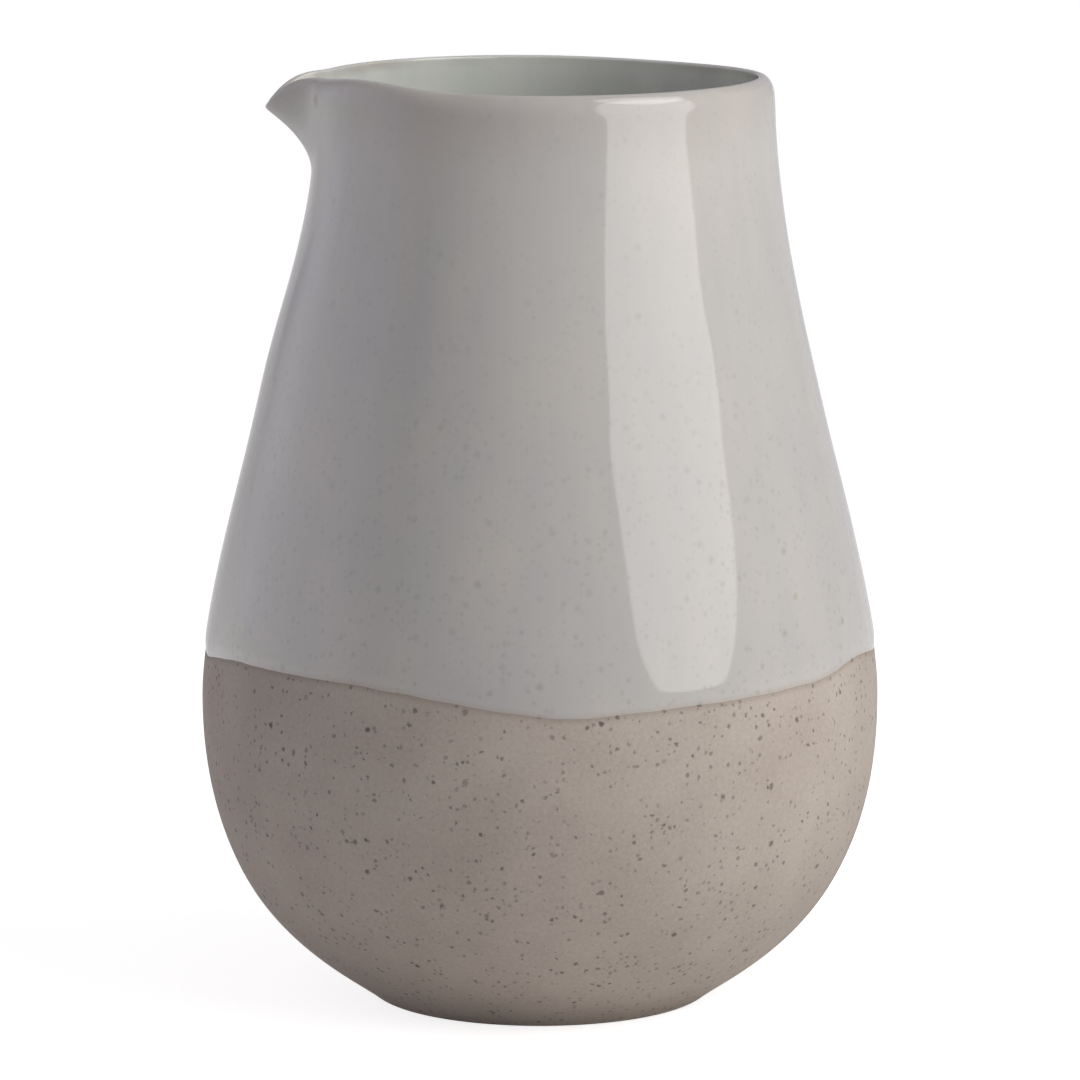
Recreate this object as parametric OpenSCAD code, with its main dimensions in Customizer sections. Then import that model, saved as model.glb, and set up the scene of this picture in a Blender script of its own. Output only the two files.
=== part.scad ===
// Stoneware jug: one thrown and fired clay body with a pulled pouring lip,
// a dipped coat of glaze outside and a poured coat of glaze inside.
// Millimetres, +Z up, origin at the middle of the foot, lip towards -X.

/* [Body] */
// Height of the glazed rim above the foot
height = 180; // [160:1:210]
// Largest outside diameter, on the bare belly
belly_d = 131.6; // [120:0.2:150]
// Height of the largest diameter above the foot
belly_z = 59; // [52:1:68]
// Outside diameter of the clay at the rim
rim_d = 89.2; // [78:0.2:100]
// Fullness of the belly below its largest diameter
belly_under = 43; // [34:0.5:48]
// Fullness of the belly above its largest diameter
belly_over = 26; // [16:0.5:36]
// How far the neck keeps upright below the rim
neck_run = 41; // [28:0.5:55]

/* [Wall] */
// Thickness of the clay at the belly
wall = 4.2; // [3.2:0.1:5.5]
// Thickness of the clay at the rim
rim_t = 2.4; // [1.8:0.1:3.2]
// Thickness of the clay in the middle of the floor
floor_t = 5.6; // [4:0.1:8]
// How softly the floor turns up into the wall
floor_round = 10; // [6:0.5:14]
// How far the level floor stops short of the foot's edge
floor_inset = 8; // [4:0.5:14]

/* [Foot] */
// Outside diameter of the foot
foot_d = 65; // [54:0.2:74]
// Slope at which the belly leaves the foot
foot_angle = 40; // [34:1:50]
// How far the belly keeps that slope
foot_run = 10.8; // [7:0.2:15]
// Width of the ring that the jug stands on
foot_ring = 6; // [3:0.5:10]
// Depth of the hollow inside the ring
foot_hollow = 1.2; // [0.6:0.1:2.4]
// How softly the outer edge of the foot is rounded
foot_round = 1.6; // [0.4:0.1:2.5]

/* [Lip] */
// How far the lip stands out past the rim
lip_reach = 8.6; // [5:0.2:12]
// How far the tip of the lip dips below the rim
lip_drop = 4.8; // [1:0.2:6]
// How far below the rim the lip starts
lip_depth = 17; // [13:0.5:22]
// Width of the lip where it has run out into the round rim
lip_w = 36; // [28:1:46]
// How far the throat under the lip is drawn in
throat_in = 2; // [0.6:0.1:2.6]
// How far below the rim the throat runs out
throat_depth = 58; // [46:1:70]
// Width over which the throat is drawn in
throat_w = 60; // [50:1:70]

/* [Glaze] */
// Thickness of the fired glaze
glaze_t = 0.4; // [0.3:0.05:0.7]
// Height of the glaze's lower edge above the foot, halfway between its lowest and highest side
dip_line = 72; // [50:1:84]
// Slant of that edge, from the tilt at which the jug was dipped
dip_tilt = 3.8; // [0:0.2:6]
// Side on which the edge runs lowest, turned from the side opposite the lip
dip_side = -75; // [-180:5:180]

/* [Hidden] */

// Radii and heights that follow from the sizes above
foot_r = foot_d / 2;
belly_r = belly_d / 2;
rim_r = rim_d / 2;
rim_bead = rim_t / 2;
wall_top = height - glaze_t - rim_bead;
floor_z = foot_hollow + floor_t;
rim_centre = [rim_r - rim_bead, wall_top];
dip_lowest = dip_line - belly_r * tan(dip_tilt);

// How finely curves are drawn
turn_facets = 120;
curve_steps = 12;
rim_steps = 4;
floor_steps = 6;
foot_steps = 4;
lip_rows = 12;
lip_columns = 15;
row_crowding = 1.5;
column_crowding = 1.6;

// Sharpness of the lip's nose, of its dip and of its upward curl
nose_power = 6;
dip_power = 2.8;
curl_power = 1.35;

// Where the lip is let into the turned wall, and how deep its edges are sunk there
sink = 0.1;
let_in = 2;
lip_edge = throat_w / 2 + 2 * let_in;
seam_z = wall_top - throat_depth - 2 * let_in;
cut_margin = 10;

// The clay's outside: foot to belly for 0 to 1, belly to rim for 1 to 2
belly_curve = [
    [foot_r, 0],
    [foot_r + foot_run * cos(foot_angle), foot_run * sin(foot_angle)],
    [belly_r, belly_z - belly_under],
    [belly_r, belly_z]
];
neck_curve = [
    [belly_r, belly_z],
    [belly_r, belly_z + belly_over],
    [rim_r, wall_top - neck_run],
    [rim_r, wall_top]
];

function bezier(p, t) =
    pow(1 - t, 3) * p[0] + 3 * pow(1 - t, 2) * t * p[1] + 3 * (1 - t) * t * t * p[2] + pow(t, 3) * p[3];
function heading(p, t) =
    let (d = pow(1 - t, 2) * (p[1] - p[0]) + 2 * (1 - t) * t * (p[2] - p[1]) + t * t * (p[3] - p[2]))
    d / norm(d);
function ease(x) = (1 - cos(180 * min(max(x, 0), 1))) / 2;
function reversed(list) = [for (i = [len(list) - 1 : -1 : 0]) list[i]];
function spots(stations) = [for (station = stations) station[0]];

function outline(s) = s < 1 ? bezier(belly_curve, s) : bezier(neck_curve, s - 1);
function along(s) = s < 1 ? heading(belly_curve, s) : heading(neck_curve, s - 1);
function outward(s) = [along(s)[1], -along(s)[0]];
function thickness(s) = wall + (rim_t - wall) * ease(s - 1);

// Where along the outline a height is reached
function station_at(z, low = 0, high = 2, tries = 24) =
    let (mid = (low + high) / 2)
    tries == 0 ? mid
    : outline(mid)[1] < z ? station_at(z, mid, high, tries - 1)
    : station_at(z, low, mid, tries - 1);

// Soft edge between the flat of the foot and the belly
foot_s = station_at(foot_round * sin(foot_angle));
foot_edge = [[foot_r - foot_round, 0], [foot_r, 0], [foot_r, 0], outline(foot_s)];

// Inside corner between the level floor and the wall
corner_s = 0.5;
function inner_wall(s) = outline(s) - thickness(s) * outward(s);
floor_curve = [
    [foot_r - floor_inset, floor_z],
    [foot_r - floor_inset + floor_round, floor_z],
    inner_wall(corner_s) - floor_round * along(corner_s),
    inner_wall(corner_s)
];
function floor_at(t, rise) =
    let (d = heading(floor_curve, t))
    bezier(floor_curve, t) + rise * [-d[1], d[0]];

// Stretches of a wall: each station is a place, the way into the material and a position along the outline
function outer_face(steps, out, way) = [for (s = steps) [outline(s) + out * outward(s), way * outward(s), s]];
function inner_face(steps, in, way) = [for (s = steps) [inner_wall(s) - in * outward(s), way * outward(s), s]];
function rim_face(from, to, out, way, side = 0) = [
    for (k = [0 : rim_steps])
    let (a = from + (to - from) * k / rim_steps)
    let (ray = [cos(a), sin(a)])
    [rim_centre + (rim_bead + out) * ray, way * ray + (a == 90 ? [side, 0] : [0, 0]), 2]
];
function floor_face(rise) = [for (k = [0 : floor_steps - 1]) floor_at(k / floor_steps, rise)];

// The closed wall of the clay and of each coat, between given steps and the rim
function clay_wall(outer_steps, inner_steps) = concat(
    outer_face(outer_steps, 0, -1),
    rim_face(0, 180, 0, -1),
    inner_face(reversed(inner_steps), 0, 1)
);
function outer_coat(steps) = concat(
    outer_face(steps, glaze_t, -1),
    rim_face(0, 90, glaze_t, -1, 1),
    rim_face(90, 0, 0, 1, 1),
    outer_face(reversed(steps), 0, 1)
);
function liner_coat(steps) = concat(
    inner_face(steps, 0, -1),
    rim_face(180, 90, 0, 1, -1),
    rim_face(90, 180, glaze_t, -1, -1),
    inner_face(reversed(steps), glaze_t, 1)
);

// Steps up the lip, closer together towards the rim, after two that are sunk in the wall below
lip_steps = concat(
    [station_at(seam_z - let_in), station_at(seam_z + let_in)],
    [
        for (k = [0 : lip_rows - 1])
        station_at(wall_top - throat_depth * pow(1 - k / lip_rows, row_crowding))
    ]
);
flush_s = (lip_steps[1] + lip_steps[2]) / 2;

// Steps up the turned walls, the same as the lip's from its seam to the rim
function steps_between(from, to) = [for (k = [0 : curve_steps - 1]) from + (to - from) * k / curve_steps];
flank_steps = steps_between(1, lip_steps[0]);
outside_steps = concat(steps_between(foot_s, 1), flank_steps, lip_steps);
inside_steps = concat(steps_between(corner_s, 1), flank_steps, lip_steps);

// Steps up the outer coat, from the last one below the lowest side of its edge
dip_s = station_at(dip_lowest);
glazed_steps = [
    for (i = [0 : len(outside_steps) - 1])
    if (i + 1 == len(outside_steps) || outside_steps[i + 1] > dip_s) outside_steps[i]
];

// Angles round the lip, closer together towards its nose, between two on each side that are sunk
function turn(distance) = distance / rim_r * 180 / PI;
lip_angles = concat(
    [-turn(lip_edge + let_in), -turn(lip_edge - let_in / 2)],
    [
        for (k = [-lip_columns : lip_columns])
        turn(throat_w / 2) * sign(k) * pow(abs(k) / lip_columns, column_crowding)
    ],
    [turn(lip_edge - let_in / 2), turn(lip_edge + let_in)]
);
flush_angle = turn(throat_w / 2 + let_in / 2);

// How the wall is pulled out at the lip and drawn in at the throat
function nose(distance) = pow(max(0, 1 - pow(2 * distance / lip_w, 2)), nose_power);
function pulled(p, angle) =
    let (distance = angle / 180 * PI * rim_r)
    let (below = max(0, wall_top - p[1]))
    let (lip = nose(distance))
    let (rise = max(0, 1 - below / lip_depth))
    let (run_out = ease((below - lip_depth) / (throat_depth - lip_depth)))
    let (throat = (1 - ease(abs(distance) * 2 / throat_w)) * ease(below / lip_depth) * (1 - run_out))
    [
        p[0] + lip_reach * lip * pow(rise, curl_power) - throat_in * throat,
        p[1] - lip_drop * pow(lip, dip_power) * rise * rise
    ];
function lip_point(station, angle) =
    let (sunk = station[2] < flush_s || abs(angle) > flush_angle ? sink : 0)
    let (p = pulled(station[0] + sunk * station[1], angle))
    [-p[0] * cos(angle), -p[0] * sin(angle), p[1]];

module turned(profile) {
    rotate_extrude($fn = turn_facets)
        polygon(profile);
}

// The turned wall, open where the lip is let in
module with_lip(profile, lip_stations) {
    difference() {
        turned(profile);
        rotate([0, 0, 180 - turn(lip_edge)])
            rotate_extrude(angle = 2 * turn(lip_edge), $fn = turn_facets)
                translate([0, seam_z])
                    square([belly_r + cut_margin, height + cut_margin - seam_z]);
    }
    lip(lip_stations);
}

// The pulled wall of the lip, one closed band from side to side
module lip(stations) {
    around = len(stations);
    last = around * (len(lip_angles) - 1);
    points = [for (angle = lip_angles) for (station = stations) lip_point(station, angle)];
    sides = [
        for (i = [0 : around : last - around]) for (j = [0 : around - 1])
        let (a = i + j)
        let (b = i + (j + 1) % around)
        each [[a, b, b + around], [a, b + around, a + around]]
    ];
    // Each end is a strip between the wall's two faces, met at the rim
    end = [
        for (j = [0 : ceil(around / 2) - 2])
        let (k = around - 1 - j)
        each k - j > 2 ? [[j, j + 1, k - 1], [j, k - 1, k]] : [[j, j + 1, k]]
    ];
    first_end = [for (face = end) reversed(face)];
    last_end = [for (face = end) [for (j = face) last + j]];
    polyhedron(points, concat(sides, first_end, last_end));
}

module stoneware_body() {
    hollow = [[0, foot_hollow], [foot_r - foot_ring - foot_hollow, foot_hollow], [foot_r - foot_ring, 0]];
    edge = [for (k = [0 : foot_steps - 1]) bezier(foot_edge, k / foot_steps)];
    walls = spots(clay_wall(outside_steps, inside_steps));
    floor_inside = concat(reversed(floor_face(0)), [[0, floor_z]]);
    color([0.72, 0.66, 0.6])
        with_lip(concat(hollow, edge, walls, floor_inside), clay_wall(lip_steps, lip_steps));
}

module outer_glaze() {
    color([0.8, 0.79, 0.77])
        difference() {
            with_lip(spots(outer_coat(glazed_steps)), outer_coat(lip_steps));
            below_dip();
        }
}

// Everything that the slanting surface of the glaze left dry
module below_dip() {
    deep = 2 * (belly_d + cut_margin);
    rotate([0, 0, dip_side])
        translate([0, 0, dip_line])
            rotate([0, dip_tilt, 0])
                translate([-deep / 2, -deep / 2, -deep])
                    cube(deep);
}

module liner_glaze() {
    under = concat([[0, floor_z]], floor_face(0));
    top = concat(reversed(floor_face(glaze_t)), [[0, floor_z + glaze_t]]);
    color([0.77, 0.78, 0.75])
        with_lip(concat(under, spots(liner_coat(inside_steps)), top), liner_coat(lip_steps));
}

stoneware_body();
outer_glaze();
liner_glaze();
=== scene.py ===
import math

import bpy
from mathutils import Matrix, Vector


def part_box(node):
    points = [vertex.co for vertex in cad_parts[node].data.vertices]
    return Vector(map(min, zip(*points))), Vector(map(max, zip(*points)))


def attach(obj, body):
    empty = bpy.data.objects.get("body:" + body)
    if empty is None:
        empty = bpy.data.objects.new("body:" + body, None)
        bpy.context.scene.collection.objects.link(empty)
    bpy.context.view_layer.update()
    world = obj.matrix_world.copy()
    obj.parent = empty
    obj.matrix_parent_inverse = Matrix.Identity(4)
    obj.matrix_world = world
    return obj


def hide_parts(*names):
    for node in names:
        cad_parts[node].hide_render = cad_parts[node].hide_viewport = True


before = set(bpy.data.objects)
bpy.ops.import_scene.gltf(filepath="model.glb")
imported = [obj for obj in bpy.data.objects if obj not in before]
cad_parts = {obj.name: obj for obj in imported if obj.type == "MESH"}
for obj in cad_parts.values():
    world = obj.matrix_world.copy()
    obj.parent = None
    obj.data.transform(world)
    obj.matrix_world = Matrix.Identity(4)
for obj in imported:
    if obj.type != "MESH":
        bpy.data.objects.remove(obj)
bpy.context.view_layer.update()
scene = bpy.context.scene
mm = 0.001
print("frame loaded:", ", ".join(sorted(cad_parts)))


# Adds a node with its settings, then fills its inputs with links or plain values
def addNode(tree, kind, links=None, **settings):
    node = tree.nodes.new(kind)
    for name, value in settings.items():
        setattr(node, name, value)
    for key, value in (links or {}).items():
        if isinstance(value, bpy.types.Node):
            value = value.outputs[0]
        if isinstance(value, bpy.types.NodeSocket):
            tree.links.new(value, node.inputs[key])
        else:
            node.inputs[key].default_value = value
    return node


# sRGB hex to the linear colour that sockets take
def tint(code):
    parts = [int(code[i:i + 2], 16) / 255 for i in (1, 3, 5)]
    return [c / 12.92 if c <= 0.04045 else ((c + 0.055) / 1.055) ** 2.4 for c in parts] + [1.0]


# The thrown form where the frame doesn't give the size, in millimetres unless a note says otherwise
form = {
    "rimRadius": 44.6,
    "bellyHeight": 59.0,
    "bellyUnder": 43.0,    # fullness below the widest place
    "bellyOver": 26.0,     # fullness above it
    "neckRun": 41.0,       # how far the neck stays upright under the rim
    "wall": 4.2,
    "rimWall": 2.4,
    "rimRun": 4.2,         # how far the rim's rounding reaches down outside
    "rimEdge": 0.35,       # rounding of its inner edge
    "rimThinning": 0.5,    # share by which the coats thin towards the crest
    "footRadius": 32.5,
    "footSlope": 40.0,     # degrees at which the belly leaves the foot
    "footRun": 10.8,
    "footRing": 6.0,
    "footHollow": 1.2,
    "footRound": 1.6,
    "floorInset": 8.0,
    "floorRound": 10.0,
    "lipReach": 8.6,
    "lipDrop": 4.8,
    "lipDepth": 17.0,
    "lipWidth": 36.0,
    "throatIn": 2.0,
    "throatDepth": 58.0,
    "throatWidth": 60.0,
    "nosePower": 6.0,      # how narrow the nose of the lip is drawn
    "dipPower": 2.8,       # how much narrower its drop is
    "curlPower": 1.35,     # how late it curls outwards
    "rimWaveDepth": 50.0,  # how far down the uneven rim is felt
    "cornerStation": 0.5,  # place on the outline where the floor inside has turned up into the wall
    "sharpAngle": 50.0,    # degrees past which an edge isn't shaded smooth
    "seamMerge": 0.002,    # points closer than this become one, which closes the mesh
}
clayLow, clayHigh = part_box("stoneware_body")
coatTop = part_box("outer_glaze")[1].z
bellyRadius = (clayHigh.y - clayLow.y) / 2 / mm
rimBead = form["rimWall"] / 2
wallTop = clayHigh.z / mm - rimBead
coatThick = (coatTop - clayHigh.z) / mm
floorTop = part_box("liner_glaze")[0].z / mm

footSlope = math.radians(form["footSlope"])
bellyCurve = [
    Vector((form["footRadius"], 0)),
    Vector((form["footRadius"], 0)) + form["footRun"] * Vector((math.cos(footSlope), math.sin(footSlope))),
    Vector((bellyRadius, form["bellyHeight"] - form["bellyUnder"])),
    Vector((bellyRadius, form["bellyHeight"])),
]
neckCurve = [
    Vector((bellyRadius, form["bellyHeight"])),
    Vector((bellyRadius, form["bellyHeight"] + form["bellyOver"])),
    Vector((form["rimRadius"], wallTop - form["neckRun"])),
    Vector((form["rimRadius"], wallTop)),
]


def bezier(p, t):
    return (1 - t) ** 3 * p[0] + 3 * (1 - t) ** 2 * t * p[1] + 3 * (1 - t) * t * t * p[2] + t ** 3 * p[3]


def heading(p, t):
    d = (1 - t) ** 2 * (p[1] - p[0]) + 2 * (1 - t) * t * (p[2] - p[1]) + t * t * (p[3] - p[2])
    return d.normalized()


def ease(x):
    return (1 - math.cos(math.pi * min(max(x, 0), 1))) / 2


def spread(low, high, count):
    return [low + (high - low) * k / count for k in range(count + 1)]


# The clay's outside runs from the foot at 0 over the belly at 1 to the rim at 2
def outline(s):
    return bezier(bellyCurve, s) if s < 1 else bezier(neckCurve, s - 1)


def along(s):
    return heading(bellyCurve, s) if s < 1 else heading(neckCurve, s - 1)


def outward(s):
    way = along(s)
    return Vector((way.y, -way.x))


def inside(s):
    thick = form["wall"] + (form["rimWall"] - form["wall"]) * ease(s - 1)
    return outline(s) - thick * outward(s)


def stationAt(z):
    low, high = 0.0, 2.0
    for _ in range(40):
        middle = (low + high) / 2
        low, high = (middle, high) if outline(middle).y < z else (low, middle)
    return (low + high) / 2


# How fast the outline turns inwards, per millimetre
def bendAt(s, step=0.01):
    before, after = along(s - step), along(s + step)
    return before.angle(after) / (outline(s + step) - outline(s - step)).length


# One row of a piece: its place, how far it follows the glaze's edge, and how the wall runs there
def row(place, hem=0.0, way=Vector((0, 1)), bend=0.0):
    return {"place": place, "hem": hem, "way": way, "bend": bend}


# The rim rounds over slowly outside and quickly inside, so its crest is thin
rimCrest = Vector((outline(2).x - form["rimWall"] + form["rimEdge"], wallTop + rimBead))
rimStation = stationAt(rimCrest.y - form["rimRun"])
edgeStation = stationAt(rimCrest.y - form["rimEdge"])


def rimRows(start, end, out, count):
    rows = []
    for a in [math.radians(a) for a in spread(start, end, count)]:
        across, upwards = math.cos(a), math.sin(a)
        wide, tall = form["rimWall"] - form["rimEdge"], form["rimRun"]
        if across < 0:
            wide, tall = form["rimEdge"], form["rimEdge"]
        coat = out * (1 - form["rimThinning"] * upwards ** 2)
        rows.append(row(rimCrest + Vector(((wide + coat) * across, (tall + coat) * upwards - tall))))
    return rows


cornerStation = form["cornerStation"]
floorCurve = [
    Vector((form["footRadius"] - form["floorInset"], floorTop)),
    Vector((form["footRadius"] - form["floorInset"] + form["floorRound"], floorTop)),
    inside(cornerStation) - form["floorRound"] * along(cornerStation),
    inside(cornerStation),
]


# The floor inside, from the middle out to where it has turned up into the wall
def floorRows(rise, flat, turn):
    rows = [row(Vector((floorCurve[0].x * k / flat, floorTop + rise))) for k in range(flat)]
    for t in spread(0, 1, turn)[:-1]:
        way = heading(floorCurve, t)
        rows.append(row(bezier(floorCurve, t) + rise * Vector((-way.y, way.x))))
    return rows


def insideRows(rise, count):
    stations = spread(cornerStation, 1, count // 3)[:-1] + spread(1, edgeStation, count - count // 3)[:-1]
    return [row(inside(s) - rise * outward(s)) for s in stations]


# What the hand and the dip left, in degrees from the back of the jug, half width in degrees and millimetres
uneven = {
    "rimWaves": [(220, 21, 1.5), (50, 35, -0.6)],
    "dipLine": 72.0,
    "dipTilt": 3.8,
    "dipSide": -75.0,
    "dipWaves": [
        (274, 12, -1.5), (238, 20, 1.8), (338, 8, 1.1), (184, 17, -4.4),
        (358, 9, -1.6), (45, 20, 0.7), (100, 24, -0.9), (142, 18, 0.8),
    ],
    "dipRipple": 0.25,
    "dipRippleSize": 9.0,
    "wobble": 0.16,
    "wobbleSize": 32.0,
    "wobbleLow": 2.0,      # height up to which the foot stays true
    "wobbleHigh": 14.0,    # height from which the wall wobbles in full
    "wobbleMiddle": 10.0,  # radius inside which the floor calms down
    "noiseGain": 4.0,      # noise swings by about a quarter either way, and this makes it about one
    "lipCrowding": 0.5,    # columns stand closer together at the lip
    "seed": 7,
}


# Sum of soft bumps round the jug
def bumpsRound(tree, angle, bumps):
    total = None
    for degrees, half, height in bumps:
        off = addNode(tree, "ShaderNodeMath", {0: angle, 1: math.radians(degrees)}, operation="SUBTRACT")
        off = addNode(tree, "ShaderNodeMath", {0: off, 1: math.pi, 2: -math.pi}, operation="WRAP")
        off = addNode(tree, "ShaderNodeMath", {0: off, 1: 1 / math.radians(half)}, operation="MULTIPLY")
        off = addNode(tree, "ShaderNodeMath", {0: off, 1: off}, operation="MULTIPLY")
        off = addNode(tree, "ShaderNodeMath", {0: off, 1: -1.0}, operation="MULTIPLY")
        off = addNode(tree, "ShaderNodeMath", {0: off}, operation="EXPONENT")
        total = addNode(
            tree, "ShaderNodeMath", {0: off, 1: height * mm, 2: total or 0.0}, operation="MULTIPLY_ADD",
        )
    return total


# The wheel: turns a row of profile points into a wall, pulls the lip and adds what the hand left
wheel = bpy.data.node_groups.new("throwOnWheel", "GeometryNodeTree")
wheel.interface.new_socket("Geometry", in_out="OUTPUT", socket_type="NodeSocketGeometry")
sockets = {}
for name, kind in [
    ("Profile", "Geometry"), ("Columns", "Int"), ("Lip Crowding", "Float"), ("Rim Radius", "Float"),
    ("Lip Reach", "Float"), ("Lip Drop", "Float"), ("Lip Width", "Float"),
    ("Throat In", "Float"), ("Throat Width", "Float"),
    ("Dip Line", "Float"), ("Dip Slope", "Float"), ("Dip Side", "Float"), ("Dip Ripple", "Float"),
    ("Wobble", "Float"), ("Wobble Size", "Float"), ("Seed", "Int"), ("Material", "Material"),
]:
    socket = wheel.interface.new_socket(name, in_out="INPUT", socket_type="NodeSocket" + kind)
    sockets[name] = socket.identifier
given = addNode(wheel, "NodeGroupInput").outputs

# A flat grid with a column for each step round the jug and a row for each profile point
points = addNode(wheel, "GeometryNodeAttributeDomainSize", {0: given["Profile"]}, component="MESH")
columnEnds = addNode(wheel, "ShaderNodeMath", {0: given["Columns"], 1: 1.0}, operation="ADD")
grid = addNode(wheel, "GeometryNodeMeshGrid", {"Vertices X": columnEnds, "Vertices Y": points})
index = addNode(wheel, "GeometryNodeInputIndex")
column = addNode(wheel, "ShaderNodeMath", {0: index, 1: points}, operation="DIVIDE")
column = addNode(wheel, "ShaderNodeMath", {0: column}, operation="FLOOR")
rowNumber = addNode(wheel, "ShaderNodeMath", {0: index, 1: points}, operation="MODULO")
turn = addNode(wheel, "ShaderNodeMath", {0: column, 1: given["Columns"]}, operation="DIVIDE")
turn = addNode(wheel, "ShaderNodeMath", {0: turn, 1: 2 * math.pi}, operation="MULTIPLY")
angle = addNode(wheel, "ShaderNodeMath", {0: turn}, operation="SINE")
angle = addNode(
    wheel, "ShaderNodeMath", {0: angle, 1: given["Lip Crowding"], 2: turn}, operation="MULTIPLY_ADD",
)

# Each profile point's place and weights, read by row
read = {}
for name in ["place", "pull", "follow", "way"]:
    stored = addNode(wheel, "GeometryNodeInputNamedAttribute", {"Name": name}, data_type="FLOAT_VECTOR")
    picked = addNode(
        wheel, "GeometryNodeSampleIndex",
        {"Geometry": given["Profile"], "Value": stored, "Index": rowNumber},
        data_type="FLOAT_VECTOR", domain="POINT",
    )
    read[name] = addNode(wheel, "ShaderNodeSeparateXYZ", {0: picked}).outputs
radius, height = read["place"]["X"], read["place"]["Z"]
curl, dip, throat = read["pull"]
crest, hem, bend = read["follow"]

# The nose of the lip and the throat under it, by distance round the rim from the lip's middle
arc = addNode(wheel, "ShaderNodeMath", {0: angle, 1: math.pi}, operation="SUBTRACT")
arc = addNode(wheel, "ShaderNodeMath", {0: arc, 1: given["Rim Radius"]}, operation="MULTIPLY")
nose = addNode(wheel, "ShaderNodeMath", {0: arc, 1: given["Lip Width"]}, operation="DIVIDE")
nose = addNode(wheel, "ShaderNodeMath", {0: nose, 1: 2.0}, operation="MULTIPLY")
nose = addNode(wheel, "ShaderNodeMath", {0: nose, 1: nose}, operation="MULTIPLY")
nose = addNode(wheel, "ShaderNodeMath", {0: 1.0, 1: nose}, operation="SUBTRACT", use_clamp=True)
nose = addNode(wheel, "ShaderNodeMath", {0: nose, 1: form["nosePower"]}, operation="POWER")
across = addNode(wheel, "ShaderNodeMath", {0: arc, 1: given["Throat Width"]}, operation="DIVIDE")
across = addNode(wheel, "ShaderNodeMath", {0: across}, operation="ABSOLUTE")
across = addNode(wheel, "ShaderNodeMath", {0: across, 1: 2.0}, operation="MULTIPLY", use_clamp=True)
across = addNode(wheel, "ShaderNodeMath", {0: across, 1: math.pi}, operation="MULTIPLY")
across = addNode(wheel, "ShaderNodeMath", {0: across}, operation="COSINE")
across = addNode(wheel, "ShaderNodeMath", {0: across, 1: 0.5, 2: 0.5}, operation="MULTIPLY_ADD")

out = addNode(wheel, "ShaderNodeMath", {0: nose, 1: curl}, operation="MULTIPLY")
out = addNode(wheel, "ShaderNodeMath", {0: out, 1: given["Lip Reach"], 2: radius}, operation="MULTIPLY_ADD")
drawn = addNode(wheel, "ShaderNodeMath", {0: across, 1: throat}, operation="MULTIPLY")
drawn = addNode(wheel, "ShaderNodeMath", {0: drawn, 1: given["Throat In"]}, operation="MULTIPLY")
out = addNode(wheel, "ShaderNodeMath", {0: out, 1: drawn}, operation="SUBTRACT")
sunk = addNode(wheel, "ShaderNodeMath", {0: nose, 1: form["dipPower"]}, operation="POWER")
sunk = addNode(wheel, "ShaderNodeMath", {0: sunk, 1: dip}, operation="MULTIPLY")
sunk = addNode(wheel, "ShaderNodeMath", {0: sunk, 1: given["Lip Drop"]}, operation="MULTIPLY")
up = addNode(wheel, "ShaderNodeMath", {0: height, 1: sunk}, operation="SUBTRACT")
rimWave = bumpsRound(wheel, angle, uneven["rimWaves"])
up = addNode(wheel, "ShaderNodeMath", {0: rimWave, 1: crest, 2: up}, operation="MULTIPLY_ADD")

# The edge of the dip: a slant, soft bumps and a fine ripple, all along the wall
cosine = addNode(wheel, "ShaderNodeMath", {0: angle}, operation="COSINE")
sine = addNode(wheel, "ShaderNodeMath", {0: angle}, operation="SINE")
ring = addNode(wheel, "ShaderNodeCombineXYZ", {"X": cosine, "Y": sine})
slant = addNode(wheel, "ShaderNodeMath", {0: angle, 1: given["Dip Side"]}, operation="SUBTRACT")
slant = addNode(wheel, "ShaderNodeMath", {0: slant}, operation="COSINE")
slant = addNode(wheel, "ShaderNodeMath", {0: slant, 1: given["Dip Slope"]}, operation="MULTIPLY")
rippleScale = bellyRadius / uneven["dipRippleSize"]
ripple = addNode(
    wheel, "ShaderNodeTexNoise", {"Vector": ring, "W": given["Seed"], "Scale": rippleScale, "Detail": 1.0},
    noise_dimensions="4D",
)
ripple = addNode(wheel, "ShaderNodeMath", {0: ripple, 1: 0.5}, operation="SUBTRACT")
ripple = addNode(wheel, "ShaderNodeMath", {0: ripple, 1: given["Dip Ripple"]}, operation="MULTIPLY")
edge = bumpsRound(wheel, angle, uneven["dipWaves"])
edge = addNode(wheel, "ShaderNodeMath", {0: edge, 1: slant}, operation="SUBTRACT")
edge = addNode(wheel, "ShaderNodeMath", {0: edge, 1: ripple}, operation="ADD")
slide = addNode(wheel, "ShaderNodeMath", {0: edge, 1: hem}, operation="MULTIPLY")
sag = addNode(wheel, "ShaderNodeMath", {0: slide, 1: slide}, operation="MULTIPLY")
sag = addNode(wheel, "ShaderNodeMath", {0: sag, 1: bend}, operation="MULTIPLY")
sag = addNode(wheel, "ShaderNodeMath", {0: sag, 1: 0.5}, operation="MULTIPLY")
out = addNode(wheel, "ShaderNodeMath", {0: slide, 1: read["way"]["X"], 2: out}, operation="MULTIPLY_ADD")
inwards = addNode(wheel, "ShaderNodeMath", {0: sag, 1: read["way"]["Z"]}, operation="MULTIPLY")
out = addNode(wheel, "ShaderNodeMath", {0: out, 1: inwards}, operation="SUBTRACT")
up = addNode(wheel, "ShaderNodeMath", {0: slide, 1: read["way"]["Z"], 2: up}, operation="MULTIPLY_ADD")
up = addNode(wheel, "ShaderNodeMath", {0: sag, 1: read["way"]["X"], 2: up}, operation="MULTIPLY_ADD")

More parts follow.
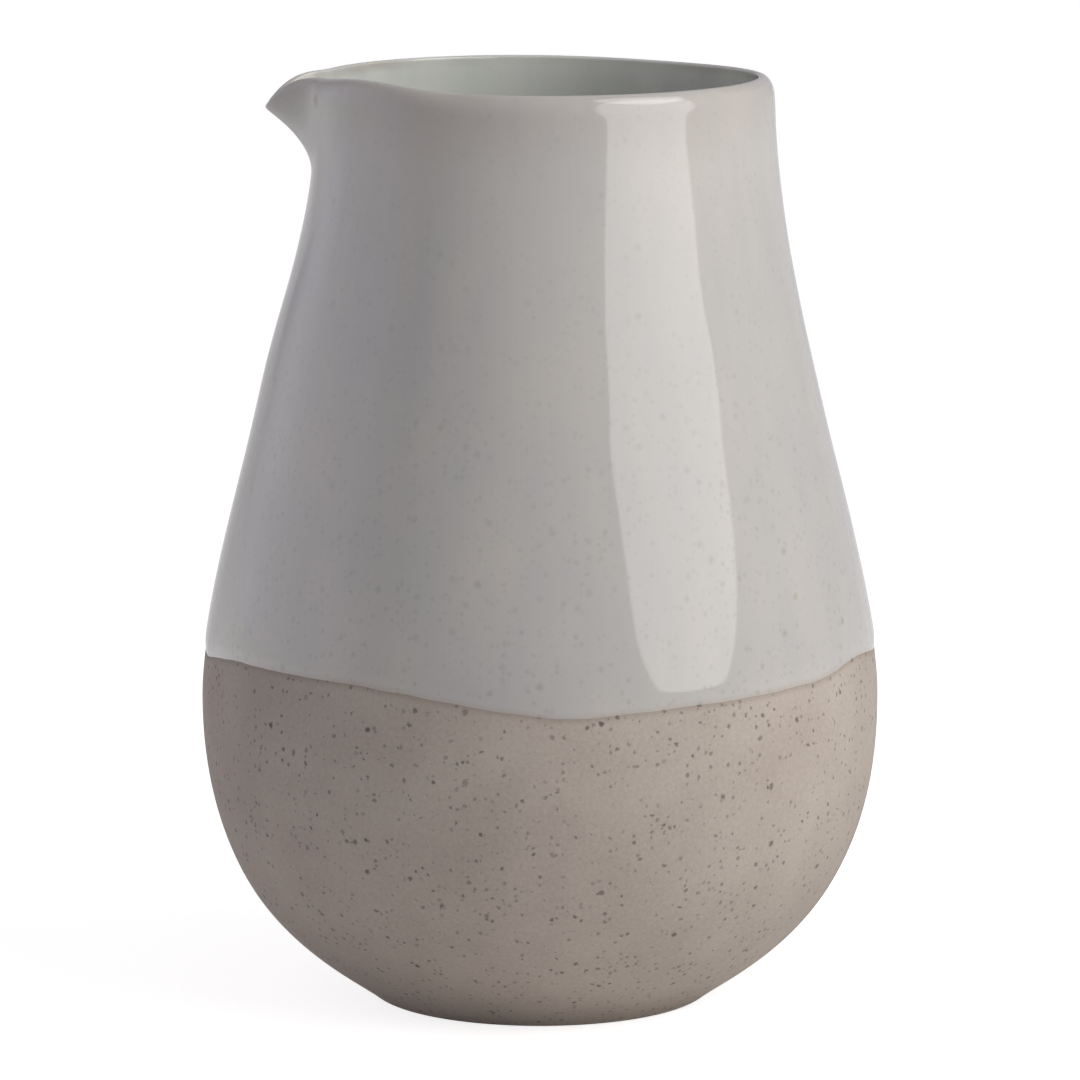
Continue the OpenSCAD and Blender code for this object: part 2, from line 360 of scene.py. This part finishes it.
# Slow unevenness of a hand-thrown wall, none at the foot and in the middle of the floor
upright = addNode(wheel, "ShaderNodeCombineXYZ", {"Z": up})
spot = addNode(wheel, "ShaderNodeVectorMath", {0: ring, 3: out}, operation="SCALE")
spot = addNode(wheel, "ShaderNodeVectorMath", {0: spot, 1: upright}, operation="ADD")
noiseScale = addNode(wheel, "ShaderNodeMath", {0: 1.0, 1: given["Wobble Size"]}, operation="DIVIDE")
wobble = addNode(
    wheel, "ShaderNodeTexNoise", {"Vector": spot, "W": given["Seed"], "Scale": noiseScale, "Detail": 1.0},
    noise_dimensions="4D",
)
wobble = addNode(wheel, "ShaderNodeMath", {0: wobble, 1: 0.5}, operation="SUBTRACT")
wobble = addNode(wheel, "ShaderNodeMath", {0: wobble, 1: uneven["noiseGain"]}, operation="MULTIPLY")
wobble = addNode(wheel, "ShaderNodeMath", {0: wobble, 1: given["Wobble"]}, operation="MULTIPLY")
fade = addNode(
    wheel, "ShaderNodeMapRange",
    {"Value": up, "From Min": uneven["wobbleLow"] * mm, "From Max": uneven["wobbleHigh"] * mm},
    interpolation_type="SMOOTHSTEP",
)
middle = addNode(wheel, "ShaderNodeMapRange", {"Value": radius, "From Max": uneven["wobbleMiddle"] * mm})
fade = addNode(wheel, "ShaderNodeMath", {0: fade, 1: middle}, operation="MULTIPLY")
out = addNode(wheel, "ShaderNodeMath", {0: wobble, 1: fade, 2: out}, operation="MULTIPLY_ADD")
spot = addNode(wheel, "ShaderNodeVectorMath", {0: ring, 3: out}, operation="SCALE")
spot = addNode(wheel, "ShaderNodeVectorMath", {0: spot, 1: upright}, operation="ADD")

# Heights above the glaze's edge and below the rim are kept for the finishes
aboveDip = addNode(wheel, "ShaderNodeMath", {0: edge, 1: given["Dip Line"]}, operation="ADD")
aboveDip = addNode(wheel, "ShaderNodeMath", {0: up, 1: aboveDip}, operation="SUBTRACT")
wall = addNode(wheel, "GeometryNodeSetPosition", {"Geometry": grid, "Position": spot})
belowRim = addNode(wheel, "ShaderNodeMath", {0: wallTop * mm, 1: height}, operation="SUBTRACT")
for name, value in [("aboveDip", aboveDip), ("belowRim", belowRim)]:
    wall = addNode(
        wheel, "GeometryNodeStoreNamedAttribute", {"Geometry": wall, "Name": name, "Value": value},
        data_type="FLOAT", domain="POINT",
    )
wall = addNode(wheel, "GeometryNodeMergeByDistance", {"Geometry": wall, "Distance": form["seamMerge"] * mm})
wall = addNode(wheel, "GeometryNodeSetShadeSmooth", {"Geometry": wall, "Shade Smooth": True}, domain="FACE")
corner = addNode(wheel, "GeometryNodeInputMeshEdgeAngle")
sharpAngle = math.radians(form["sharpAngle"])
corner = addNode(wheel, "ShaderNodeMath", {0: corner, 1: sharpAngle}, operation="GREATER_THAN")
wall = addNode(
    wheel, "GeometryNodeSetShadeSmooth",
    {"Geometry": wall, "Selection": corner, "Shade Smooth": False}, domain="EDGE",
)
wall = addNode(wheel, "GeometryNodeRealizeInstances", {"Geometry": wall})
wall = addNode(wheel, "GeometryNodeSetMaterial", {"Geometry": wall, "Material": given["Material"]})
addNode(wheel, "NodeGroupOutput", {0: wall})
print("wheel tree:", len(wheel.nodes), "nodes")


# Turns rows on the wheel and leaves a plain closed mesh that stands for a CAD node
def throwPiece(name, rows, columns, material, node):
    mesh = bpy.data.meshes.new(name + "Profile")
    spine = [(0, 0, k * mm) for k in range(len(rows))]
    mesh.from_pydata(spine, [(k, k + 1) for k in range(len(rows) - 1)], [])
    flat = {"place": [], "pull": [], "follow": [], "way": []}
    for r in rows:
        below = max(0, wallTop - r["place"].y)
        rise = max(0, 1 - below / form["lipDepth"])
        runOut = ease((below - form["lipDepth"]) / (form["throatDepth"] - form["lipDepth"]))
        flat["place"] += [r["place"].x * mm, 0, r["place"].y * mm]
        throatPull = ease(below / form["lipDepth"]) * (1 - runOut)
        flat["pull"] += [rise ** form["curlPower"], rise * rise, throatPull]
        flat["follow"] += [ease(1 - below / form["rimWaveDepth"]), r["hem"], r["bend"] / mm]
        flat["way"] += [r["way"].x, 0, r["way"].y]
    for key, values in flat.items():
        mesh.attributes.new(key, "FLOAT_VECTOR", "POINT").data.foreach_set("vector", values)
    piece = bpy.data.objects.new(name, mesh)
    scene.collection.objects.link(piece)
    turning = piece.modifiers.new("throwOnWheel", "NODES")
    turning.node_group = wheel
    for key, value in {
        "Columns": columns, "Lip Crowding": uneven["lipCrowding"], "Rim Radius": form["rimRadius"] * mm,
        "Lip Reach": form["lipReach"] * mm, "Lip Drop": form["lipDrop"] * mm,
        "Lip Width": form["lipWidth"] * mm,
        "Throat In": form["throatIn"] * mm, "Throat Width": form["throatWidth"] * mm,
        "Dip Line": uneven["dipLine"] * mm,
        "Dip Slope": bellyRadius * mm * math.tan(math.radians(uneven["dipTilt"])),
        "Dip Side": math.radians(uneven["dipSide"]),
        "Dip Ripple": uneven["dipRipple"] * uneven["noiseGain"] * mm,
        "Wobble": uneven["wobble"] * mm, "Wobble Size": uneven["wobbleSize"] * mm, "Seed": uneven["seed"],
        "Material": material,
    }.items():
        turning[sockets[key]] = value
    graph = bpy.context.evaluated_depsgraph_get()
    ready = piece.evaluated_get(graph)
    turned = bpy.data.meshes.new_from_object(ready, preserve_all_data_layers=True, depsgraph=graph)
    piece.modifiers.clear()
    piece.data = turned
    turned.name = name
    bpy.data.meshes.remove(mesh)
    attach(piece, "root")
    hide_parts(node)
    box = [round(v / mm, 2) for v in piece.dimensions]
    print(name, "rows", len(rows), "faces", len(turned.polygons), "box", box)


# Iron that burnt out of the clay: dark grains of two sizes, the same under clay and glaze
specks = {
    "coarseCell": 2.3, "coarseGrain": 0.75, "coarseShare": 0.42,
    "fineCell": 1.1, "fineGrain": 0.56, "fineShare": 0.56,    # millimetres, and share of cells with a grain
    "ragged": 0.9, "raggedSize": 0.6,
    "crowd": 0.7, "crowdSize": 9.0,          # how unevenly they lie, and how far apart the clusters are
    "crowdLow": 0.3, "crowdHigh": 0.7,       # stretch of the noise that goes from few to many
    "faint": 0.35,                           # darkness of the palest grain
}


# The grains lie in loose clusters, and bleed widens them where a melt has drawn them out
def ironSpecks(tree, place, bleed, sharp):
    few, many = 1 - specks["crowd"], 1 + specks["crowd"]
    crowd = addNode(tree, "ShaderNodeTexNoise", {"Vector": place, "Scale": 1 / (specks["crowdSize"] * mm)})
    crowd = addNode(
        tree, "ShaderNodeMapRange",
        {
            "Value": crowd, "From Min": specks["crowdLow"], "From Max": specks["crowdHigh"],
            "To Min": few, "To Max": many,
        },
    )
    jitter = addNode(tree, "ShaderNodeTexNoise", {"Vector": place, "Scale": 1 / (specks["raggedSize"] * mm)})
    jitter = addNode(
        tree, "ShaderNodeVectorMath", {0: jitter.outputs["Color"], 1: (0.5,) * 3}, operation="SUBTRACT",
    )
    jitter = addNode(tree, "ShaderNodeVectorMath", {0: jitter, 3: specks["ragged"] * mm}, operation="SCALE")
    place = addNode(tree, "ShaderNodeVectorMath", {0: place, 1: jitter}, operation="ADD")
    found = []
    for size in ["coarse", "fine"]:
        cell, grain, share = specks[size + "Cell"], specks[size + "Grain"], specks[size + "Share"]
        cells = addNode(tree, "ShaderNodeTexVoronoi", {"Vector": place, "Scale": 1 / (cell * mm)})
        chance = addNode(tree, "ShaderNodeSeparateColor", {0: cells.outputs["Color"]}).outputs
        empty = addNode(tree, "ShaderNodeMath", {0: crowd, 1: -share, 2: 1.0}, operation="MULTIPLY_ADD")
        widest = bleed * grain / cell
        reach = addNode(
            tree, "ShaderNodeMapRange",
            {"Value": chance["Red"], "From Min": empty, "From Max": 1.0, "To Min": 0.0, "To Max": widest},
        )
        away = cells.outputs["Distance"]
        grains = addNode(tree, "ShaderNodeMath", {0: reach, 1: away}, operation="SUBTRACT")
        steep = sharp * cell / grain
        grains = addNode(tree, "ShaderNodeMath", {0: grains, 1: steep}, operation="MULTIPLY", use_clamp=True)
        dark = addNode(
            tree, "ShaderNodeMapRange",
            {"Value": chance["Green"], "To Min": specks["faint"], "To Max": 1.0},
        )
        found.append(addNode(tree, "ShaderNodeMath", {0: grains, 1: dark}, operation="MULTIPLY"))
    return found


# Bare stoneware: fired, unglazed and turned smooth, so it reads as dry, sandy and matt with dark grains
clay = {
    "colour": "#C0B6AB", "shade": "#B2A79D", "speck": "#4E4741", "toast": "#9C8F82",
    "mottle": 16.0, "sand": 0.7,            # size of the clouding and of the sand, in millimetres
    "blendLow": 0.7, "blendHigh": 1.3,      # stretch of both noises that goes from shade to colour
    "toastWidth": 1.5, "toastOver": 0.2, "toastShow": 0.6,
    "coarseShow": 0.78, "fineShow": 0.68, "bleed": 1.0, "sharp": 2.5,
    "leastRough": 0.72, "mostRough": 0.9, "gloss": 0.3, "refraction": 1.5,
    "pit": 0.6, "bump": 0.12, "bumpShow": 0.35,
    "columns": 300, "hollowSteps": 6, "ringSteps": 8, "footSteps": 6, "bellySteps": 44, "neckSteps": 64,
    "rimSteps": 16, "insideSteps": 60, "floorSteps": 5, "cornerSteps": 10,
}


def bareStoneware():
    material = bpy.data.materials.new("bareStoneware")
    material.use_nodes = True
    tree = material.node_tree
    tree.nodes.clear()
    place = addNode(tree, "ShaderNodeTexCoord").outputs["Object"]
    mottle = addNode(
        tree, "ShaderNodeTexNoise", {"Vector": place, "Scale": 1 / (clay["mottle"] * mm), "Detail": 3.0},
    )
    sand = addNode(
        tree, "ShaderNodeTexNoise", {"Vector": place, "Scale": 1 / (clay["sand"] * mm), "Detail": 2.0},
    )
    blend = addNode(tree, "ShaderNodeMath", {0: mottle, 1: sand}, operation="ADD")
    blend = addNode(
        tree, "ShaderNodeMapRange",
        {"Value": blend, "From Min": clay["blendLow"], "From Max": clay["blendHigh"]},
    )
    colour = addNode(
        tree, "ShaderNodeMix", {0: blend, 6: tint(clay["shade"]), 7: tint(clay["colour"])}, data_type="RGBA",
    ).outputs[2]
    # Flashing: the clay is toasted where the glaze's edge drew moisture
    above = addNode(tree, "ShaderNodeAttribute", attribute_name="aboveDip").outputs["Fac"]
    toast = addNode(
        tree, "ShaderNodeMapRange",
        {
            "Value": above, "From Min": -clay["toastWidth"] * mm, "From Max": clay["toastOver"] * mm,
            "To Max": clay["toastShow"],
        },
        interpolation_type="SMOOTHSTEP",
    )
    colour = addNode(
        tree, "ShaderNodeMix", {0: toast, 6: colour, 7: tint(clay["toast"])}, data_type="RGBA",
    ).outputs[2]
    coarse, fine = ironSpecks(tree, place, clay["bleed"], clay["sharp"])
    fine = addNode(tree, "ShaderNodeMath", {0: fine, 1: clay["fineShow"]}, operation="MULTIPLY")
    coarse = addNode(tree, "ShaderNodeMath", {0: coarse, 1: clay["coarseShow"]}, operation="MULTIPLY")
    grains = addNode(tree, "ShaderNodeMath", {0: coarse, 1: fine}, operation="MAXIMUM")
    colour = addNode(
        tree, "ShaderNodeMix", {0: grains, 6: colour, 7: tint(clay["speck"])}, data_type="RGBA",
    ).outputs[2]
    rough = addNode(
        tree, "ShaderNodeMapRange",
        {"Value": sand, "To Min": clay["leastRough"], "To Max": clay["mostRough"]},
    )
    pits = addNode(tree, "ShaderNodeMath", {0: grains, 1: -clay["pit"], 2: sand}, operation="MULTIPLY_ADD")
    bump = addNode(
        tree, "ShaderNodeBump",
        {"Height": pits, "Strength": clay["bumpShow"], "Distance": clay["bump"] * mm},
    )
    surface = addNode(
        tree, "ShaderNodeBsdfPrincipled",
        {
            "Base Color": colour, "Roughness": rough, "IOR": clay["refraction"],
            "Specular IOR Level": clay["gloss"], "Normal": bump,
        },
    )
    addNode(tree, "ShaderNodeOutputMaterial", {"Surface": surface})
    return material


# The clay: hollow foot, soft ring, belly, neck, rim, and down the inside to the floor
ringInner = form["footRadius"] - form["footRing"]
hollowEdge = [
    Vector((ringInner - 3 * form["footHollow"], form["footHollow"])),
    Vector((ringInner - form["footHollow"], form["footHollow"])),
    Vector((ringInner, 0)),
    Vector((ringInner + form["footHollow"], 0)),
]
footStation = stationAt(form["footRound"] * math.sin(footSlope))
footEdge = [
    Vector((form["footRadius"] - form["footRound"], 0)),
    bellyCurve[0],
    bellyCurve[0],
    outline(footStation),
]
steps = clay["hollowSteps"]
clayRows = [row(Vector((hollowEdge[0].x * k / steps, form["footHollow"]))) for k in range(steps)]
clayRows += [row(bezier(hollowEdge, t)) for t in spread(0, 1, clay["ringSteps"])]
clayRows += [row(bezier(footEdge, t)) for t in spread(0, 1, clay["footSteps"])[:-1]]
clayRows += [row(outline(s)) for s in spread(footStation, 1, clay["bellySteps"])[:-1]]
clayRows += [row(outline(s)) for s in spread(1, rimStation, clay["neckSteps"])[:-1]]
clayRows += rimRows(0, 180, 0, clay["rimSteps"])
clayRows += insideRows(0, clay["insideSteps"])[::-1]
clayRows += floorRows(0, clay["floorSteps"], clay["cornerSteps"])[::-1]
throwPiece("thrownClay", clayRows, clay["columns"], bareStoneware(), "stoneware_body")


# Feldspar glaze: a clear gloss over milky white, thin and warm at the rim, with the iron showing faintly
glaze = {
    "colour": "#C3BFB8", "cool": "#BCBAB7", "speck": "#6F6A65", "thin": "#9C8C7C", "edge": "#B6ADA4",
    "mottle": 30.0, "streakWidth": 7.0, "streakLength": 70.0,    # millimetres, as all widths here
    "blendLow": 0.75, "blendHigh": 1.25,
    "patchLow": 0.42, "patchHigh": 0.62, "thinLeast": 0.1, "thinShow": 0.3,
    "thinWidth": 0.9, "thinWaver": 1.2,
    "warmWidth": 16.0, "warmShow": 0.18,
    "edgeWidth": 1.4, "edgeShow": 0.7,
    "speckShow": 0.36, "speckFade": 80.0, "speckLeft": 0.4, "fineShow": 0.7, "bleed": 1.5, "sharp": 0.9,
    "roughness": 0.06, "smoother": 0.02, "rougher": 0.03, "refraction": 1.58,
    "columns": 360, "wallSteps": 76, "rimSteps": 12, "backRimSteps": 8, "backSteps": 50,
}


def fusedGlaze(name, finish):
    material = bpy.data.materials.new(name)
    material.use_nodes = True
    tree = material.node_tree
    tree.nodes.clear()
    place = addNode(tree, "ShaderNodeTexCoord").outputs["Object"]
    mottle = addNode(
        tree, "ShaderNodeTexNoise", {"Vector": place, "Scale": 1 / (finish["mottle"] * mm), "Detail": 2.0},
    )
    run = [1 / (finish[key] * mm) for key in ("streakWidth", "streakWidth", "streakLength")]
    streak = addNode(tree, "ShaderNodeMapping", {"Vector": place, "Scale": run})
    streak = addNode(tree, "ShaderNodeTexNoise", {"Vector": streak, "Scale": 1.0, "Detail": 2.0})
    blend = addNode(tree, "ShaderNodeMath", {0: mottle, 1: streak}, operation="ADD")
    blend = addNode(
        tree, "ShaderNodeMapRange",
        {"Value": blend, "From Min": finish["blendLow"], "From Max": finish["blendHigh"]},
    )
    colour = addNode(
        tree, "ShaderNodeMix",
        {0: blend, 6: tint(finish["cool"]), 7: tint(finish["colour"])}, data_type="RGBA",
    ).outputs[2]
    # The melt drew back from the rim, so the clay warms it there in patches
    patch = addNode(
        tree, "ShaderNodeMapRange",
        {
            "Value": mottle, "From Min": finish["patchLow"], "From Max": finish["patchHigh"],
            "To Min": finish["thinLeast"], "To Max": finish["thinShow"],
        },
    )
    below = addNode(tree, "ShaderNodeAttribute", attribute_name="belowRim").outputs["Fac"]
    waver = finish["thinWaver"] * mm
    below = addNode(tree, "ShaderNodeMath", {0: streak, 1: waver, 2: below}, operation="MULTIPLY_ADD")
    thin = addNode(
        tree, "ShaderNodeMapRange",
        {"Value": below, "From Max": finish["thinWidth"] * mm, "To Min": patch, "To Max": 0.0},
        interpolation_type="SMOOTHSTEP",
    )
    # Over a wider band below the rim the glaze turns darker and warmer towards the rim
    warm = addNode(
        tree, "ShaderNodeMapRange",
        {"Value": below, "From Max": finish["warmWidth"] * mm, "To Min": finish["warmShow"], "To Max": 0.0},
        interpolation_type="SMOOTHSTEP",
    )
    thin = addNode(tree, "ShaderNodeMath", {0: thin, 1: warm}, operation="MAXIMUM")
    colour = addNode(
        tree, "ShaderNodeMix", {0: thin, 6: colour, 7: tint(finish["thin"])}, data_type="RGBA",
    ).outputs[2]
    above = addNode(tree, "ShaderNodeAttribute", attribute_name="aboveDip").outputs["Fac"]
    edgeThin = addNode(
        tree, "ShaderNodeMapRange",
        {"Value": above, "From Max": finish["edgeWidth"] * mm, "To Min": finish["edgeShow"], "To Max": 0.0},
        interpolation_type="SMOOTHSTEP",
    )
    colour = addNode(
        tree, "ShaderNodeMix", {0: edgeThin, 6: colour, 7: tint(finish["edge"])}, data_type="RGBA",
    ).outputs[2]
    # Iron bleeds softly into the melt, and shows less and less higher up
    coarse, fine = ironSpecks(tree, place, finish["bleed"], finish["sharp"])
    fine = addNode(tree, "ShaderNodeMath", {0: fine, 1: finish["fineShow"]}, operation="MULTIPLY")
    grains = addNode(tree, "ShaderNodeMath", {0: coarse, 1: fine}, operation="MAXIMUM")
    most = finish["speckShow"]
    show = addNode(
        tree, "ShaderNodeMapRange",
        {
            "Value": above, "From Max": finish["speckFade"] * mm,
            "To Min": most, "To Max": finish["speckLeft"] * most,
        },
    )
    grains = addNode(tree, "ShaderNodeMath", {0: grains, 1: show}, operation="MULTIPLY")
    colour = addNode(
        tree, "ShaderNodeMix", {0: grains, 6: colour, 7: tint(finish["speck"])}, data_type="RGBA",
    ).outputs[2]
    least, greatest = finish["roughness"] - finish["smoother"], finish["roughness"] + finish["rougher"]
    rough = addNode(tree, "ShaderNodeMapRange", {"Value": streak, "To Min": least, "To Max": greatest})
    surface = addNode(
        tree, "ShaderNodeBsdfPrincipled",
        {"Base Color": colour, "Roughness": rough, "IOR": finish["refraction"]},
    )
    addNode(tree, "ShaderNodeOutputMaterial", {"Surface": surface})
    return material


# The dipped coat: its feathered lower edge follows the slanting, wavy line of the dip
hemRoll = {
    "nose": 3.2,       # run over which the coat swells to its full depth
    "follow": 8.0,     # height up to which it moves with the wavy line
    "runOut": 42.0,    # run over which it ceases to
    "steps": [0.0, 0.02, 0.08, 0.18, 0.3, 0.45, 0.6, 0.8, 1.1, 1.5, 1.9, 2.4, 3.0, 3.8, 4.8],
    "full": 6.0,       # where the even rows begin
}
dipStation = stationAt(uneven["dipLine"])
dipStart = outline(dipStation).y


def coatRow(s, out):
    distance = outline(s).y - dipStart
    hem = 1 - ease((distance - hemRoll["follow"]) / hemRoll["runOut"])
    return row(outline(s) + out * outward(s), hem, along(s), bendAt(s))


def coatDepth(distance):
    nose = min(distance / hemRoll["nose"], 1)
    return coatThick * nose * (2 - nose)


coatRows = [coatRow(stationAt(dipStart + d), coatDepth(d)) for d in hemRoll["steps"]]
coatStation = stationAt(dipStart + hemRoll["full"])
coatRows += [coatRow(s, coatThick) for s in spread(coatStation, rimStation, glaze["wallSteps"])[:-1]]
coatRows += rimRows(0, 90, coatThick, glaze["rimSteps"])
coatRows += rimRows(90, 0, 0, glaze["backRimSteps"])[:-1]
coatRows += [coatRow(s, 0) for s in spread(rimStation, dipStation, glaze["backSteps"])]
coatFinish = fusedGlaze("dippedGlaze", glaze)
throwPiece("dippedGlaze", coatRows, glaze["columns"], coatFinish, "outer_glaze")

# The poured coat: the same melt, greener, over the floor, up the inside wall and to the crest of the rim.
# Its colour is lighter than the outer coat's, which is painted light for the inside of the mouth
liner = dict(
    glaze, colour="#D0D2CB", cool="#C8CBC5", thinWidth=1.8, thinShow=0.6, warmShow=0.0, speckShow=0.15,
    roughness=0.08, columns=300, wallSteps=110, floorSteps=6, cornerSteps=18,
    backFloorSteps=5, backCornerSteps=10,
)
linerRows = floorRows(0, liner["backFloorSteps"], liner["backCornerSteps"])
linerRows += insideRows(0, liner["backSteps"])
linerRows += rimRows(180, 90, 0, liner["backRimSteps"])
linerRows += rimRows(90, 180, coatThick, liner["rimSteps"])
linerRows += insideRows(coatThick, liner["wallSteps"])[::-1]
linerRows += floorRows(coatThick, liner["floorSteps"], liner["cornerSteps"])[::-1]
linerFinish = fusedGlaze("pouredLiner", liner)
throwPiece("pouredLiner", linerRows, liner["columns"], linerFinish, "liner_glaze")
print("pieces thrown")

# Pale studio: a sweep that the camera sees as white, soft light all round and more from a wall at the left
studio = {
    "floorColour": "#EFEDEC", "floorSize": 12.0, "floorGlow": 0.78,
    "floorMirror": 0.4, "floorMirrorWall": 1.0,    # what the gloss sees of the floor, and towards the wall
    "ambientColour": "#F2F0FA", "ambient": 0.26, "ambientWall": 1.05,
    "mirrored": 0.55, "mirroredWall": 1.5,         # what the gloss sees of the room
    "wallTurn": -103.0, "wallEdge": 0.65,
}


# How far a direction points at the pale wall, from 0 to 1
def towardsWall(tree, way):
    turn = math.radians(studio["wallTurn"])
    wallWay = (math.sin(turn), -math.cos(turn), 0)
    facing = addNode(tree, "ShaderNodeVectorMath", {0: way, 1: wallWay}, operation="DOT_PRODUCT")
    return addNode(
        tree, "ShaderNodeMapRange",
        {"Value": facing.outputs["Value"], "From Min": studio["wallEdge"], "From Max": 1.0},
        interpolation_type="SMOOTHSTEP",
    )


world = bpy.data.worlds.new("paleStudio")
scene.world = world
world.use_nodes = True
tree = world.node_tree
tree.nodes.clear()
path = addNode(tree, "ShaderNodeLightPath").outputs
wallSide = towardsWall(tree, addNode(tree, "ShaderNodeTexCoord").outputs["Generated"])
soft = addNode(
    tree, "ShaderNodeMapRange",
    {"Value": wallSide, "To Min": studio["ambient"], "To Max": studio["ambientWall"]},
)
mirrored = addNode(
    tree, "ShaderNodeMapRange",
    {"Value": wallSide, "To Min": studio["mirrored"], "To Max": studio["mirroredWall"]},
)
strength = addNode(
    tree, "ShaderNodeMapRange", {"Value": path["Is Glossy Ray"], "To Min": soft, "To Max": mirrored},
)
seen = addNode(
    tree, "ShaderNodeMath", {0: path["Is Camera Ray"], 1: path["Is Transmission Ray"]}, operation="MAXIMUM",
)
strength = addNode(tree, "ShaderNodeMapRange", {"Value": seen, "To Min": strength, "To Max": 1.0})
hue = addNode(
    tree, "ShaderNodeMix", {0: seen, 6: tint(studio["ambientColour"]), 7: (1, 1, 1, 1)}, data_type="RGBA",
).outputs[2]
sky = addNode(tree, "ShaderNodeBackground", {"Color": hue, "Strength": strength})
addNode(tree, "ShaderNodeOutputWorld", {"Surface": sky})

half = studio["floorSize"] / 2
floorMesh = bpy.data.meshes.new("sweep")
corners = [(-half, -half, 0), (half, -half, 0), (half, half, 0), (-half, half, 0)]
floorMesh.from_pydata(corners, [], [(0, 1, 2, 3)])
floor = bpy.data.objects.new("sweep", floorMesh)
scene.collection.objects.link(floor)
paper = bpy.data.materials.new("paperSweep")
paper.use_nodes = True
tree = paper.node_tree
tree.nodes.clear()
path = addNode(tree, "ShaderNodeLightPath").outputs
seen = addNode(
    tree, "ShaderNodeMath", {0: path["Is Camera Ray"], 1: path["Is Transmission Ray"]}, operation="MAXIMUM",
)
way = addNode(tree, "ShaderNodeTexCoord").outputs["Object"]
way = addNode(tree, "ShaderNodeVectorMath", {0: way}, operation="NORMALIZE")
glow = addNode(
    tree, "ShaderNodeMapRange",
    {"Value": towardsWall(tree, way), "To Min": studio["floorMirror"], "To Max": studio["floorMirrorWall"]},
)
glow = addNode(tree, "ShaderNodeMath", {0: path["Is Glossy Ray"], 1: glow}, operation="MULTIPLY")
glow = addNode(tree, "ShaderNodeMath", {0: seen, 1: studio["floorGlow"], 2: glow}, operation="MULTIPLY_ADD")
glow = addNode(tree, "ShaderNodeEmission", {"Color": (1, 1, 1, 1), "Strength": glow})
matt = addNode(tree, "ShaderNodeBsdfDiffuse", {"Color": tint(studio["floorColour"])})
both = addNode(tree, "ShaderNodeAddShader", {0: matt, 1: glow})
behind = addNode(tree, "ShaderNodeNewGeometry").outputs["Backfacing"]
clear = addNode(tree, "ShaderNodeBsdfTransparent")
both = addNode(tree, "ShaderNodeMixShader", {0: behind, 1: both, 2: clear})
addNode(tree, "ShaderNodeOutputMaterial", {"Surface": both})
floorMesh.materials.append(paper)


# Angles in degrees, with turns counted from the camera's side, lengths in metres and powers in watts
lamps = {
    "colour": "#FFFEFC",
    "keyTurn": 53.1, "keyAim": 57.7, "keyRoll": 11.0, "keyDistance": 0.353, "keyCentre": 0.355,
    "keyWidth": 0.362, "keyHeight": 0.56, "keyPower": 1.07,
    "highTurn": 68.0, "highTilt": 40.0, "highDistance": 0.58, "highHeight": 0.87,
    "highWidth": 0.6, "highPower": 2.3,
    "cardTurn": 58.0, "cardDistance": 0.24, "cardHeight": 0.03, "cardWidth": 0.16, "cardPower": 0.036,
    "spotDistance": 0.4, "spotHeight": 0.694, "spotSize": 0.04, "spotCone": 11.0, "spotPower": 4.6,
}


# Hangs a lamp at a turn, a distance and a height, where a tilt of 90 degrees faces it level
def hangLamp(name, kind, power, place, tilt, roll, aim):
    lamp = bpy.data.lights.new(name, kind)
    lamp.energy = power
    lamp.color = tint(lamps["colour"])[:3]
    holder = bpy.data.objects.new(name, lamp)
    scene.collection.objects.link(holder)
    turn, distance, height = place
    turn = math.radians(turn)
    holder.location = (distance * math.sin(turn), -distance * math.cos(turn), height)
    holder.rotation_euler = (math.radians(tilt), math.radians(roll), math.radians(aim))
    holder.visible_camera = False
    return holder


# A tall softbox at the right front, which the gloss mirrors, and a high lamp that reaches into the mouth
place = (lamps["keyTurn"], lamps["keyDistance"], lamps["keyCentre"])
softbox = hangLamp("softbox", "AREA", lamps["keyPower"], place, 90, lamps["keyRoll"], lamps["keyAim"])
softbox.data.shape = "ELLIPSE"
softbox.data.size, softbox.data.size_y = lamps["keyWidth"], lamps["keyHeight"]
place = (lamps["highTurn"], lamps["highDistance"], lamps["highHeight"])
high = hangLamp("highLamp", "AREA", lamps["highPower"], place, lamps["highTilt"], 0, lamps["highTurn"])
high.data.shape = "DISK"
high.data.size = lamps["highWidth"]

# A low card by the foot and a soft spot on the inside by the lip, which only fill
place = (lamps["cardTurn"], lamps["cardDistance"], lamps["cardHeight"])
card = hangLamp("bounceCard", "AREA", lamps["cardPower"], place, 90, 0, lamps["cardTurn"])
card.data.shape = "RECTANGLE"
card.data.size, card.data.size_y = lamps["cardWidth"], 2 * lamps["cardHeight"]
place = (lamps["highTurn"], lamps["spotDistance"], lamps["spotHeight"])
mouthSpot = hangLamp("mouthSpot", "SPOT", lamps["spotPower"], place, lamps["highTilt"], 0, lamps["highTurn"])
mouthSpot.data.spot_size, mouthSpot.data.spot_blend = math.radians(lamps["spotCone"]), 1.0
mouthSpot.data.shadow_soft_size = lamps["spotSize"]
for holder in [card, mouthSpot]:
    holder.visible_glossy = False

# The photo's view: sensor and lens in millimetres, place in metres, and degrees that it looks down
view = {"sensor": 36.0, "lens": 217.4, "distance": 1.25, "height": 0.2981, "down": 9.49}
camera = bpy.data.objects.new("camera", bpy.data.cameras.new("camera"))
camera.data.sensor_width = view["sensor"]
camera.data.lens = view["lens"]
camera.location = (0.0, -view["distance"], view["height"])
camera.rotation_euler = (math.radians(90 - view["down"]), 0, 0)
scene.collection.objects.link(camera)
scene.camera = camera
scene.view_settings.view_transform = "Standard"
print("studio set")

bpy.context.view_layer.update()
